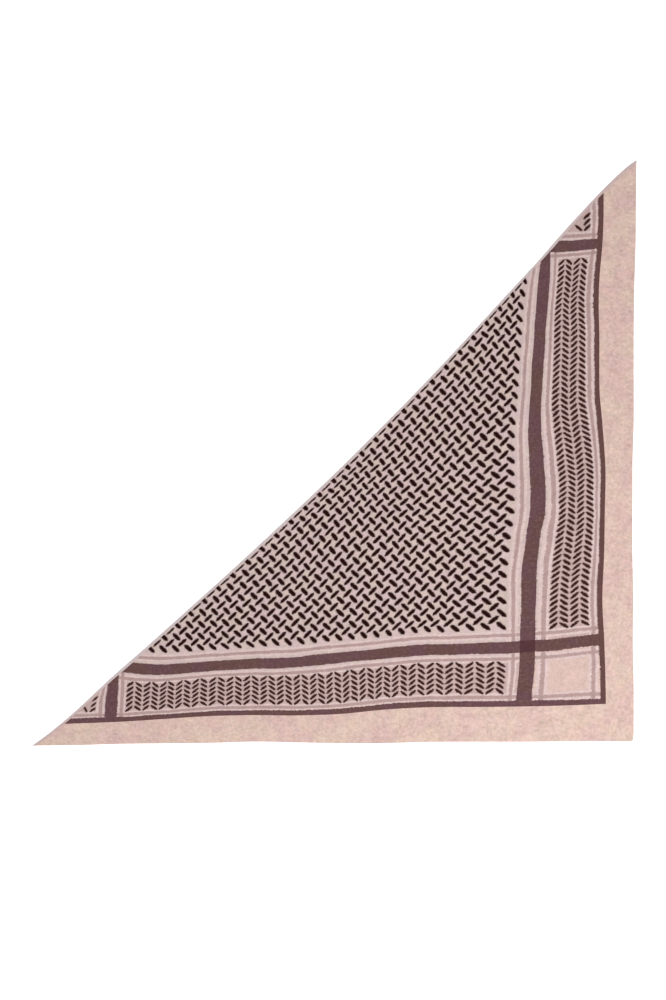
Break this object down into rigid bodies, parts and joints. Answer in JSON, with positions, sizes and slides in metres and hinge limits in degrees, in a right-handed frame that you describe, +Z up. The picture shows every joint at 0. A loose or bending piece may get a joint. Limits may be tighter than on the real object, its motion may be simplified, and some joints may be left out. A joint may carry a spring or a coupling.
{
  "type": "knitted triangle scarf",
  "caption": "Fine-knit triangle scarf laid out flat, with a jacquard net and herringbone borders, plain bands and a trimmed long edge.",
  "frame": {"origin": "under the middle of the scarf's outline, on the surface that it lies on", "axes": "+Z up through the cloth's thickness, right side up; +X towards the side with the right-angled corner; +Y from that corner towards the top tip"},
  "size_m": [1.362, 1.32, 0.0062],
  "materials": {
    "pattern_knit": "fine wool jacquard knit, dusty pink ground with near-black and mauve-brown figures, matt with a soft nap",
    "band_knit": "plain fine wool knit in a beige-pink melange yarn, matt with a soft nap",
    "trim_knit": "narrow linked trim in pale pink wool, matt"
  },
  "bodies": {
    "root": {"pattern_panel": "pattern_knit", "side_band": "band_knit", "bottom_band": "band_knit", "long_edge_trim": "trim_knit"}
  },
  "joints": []
}
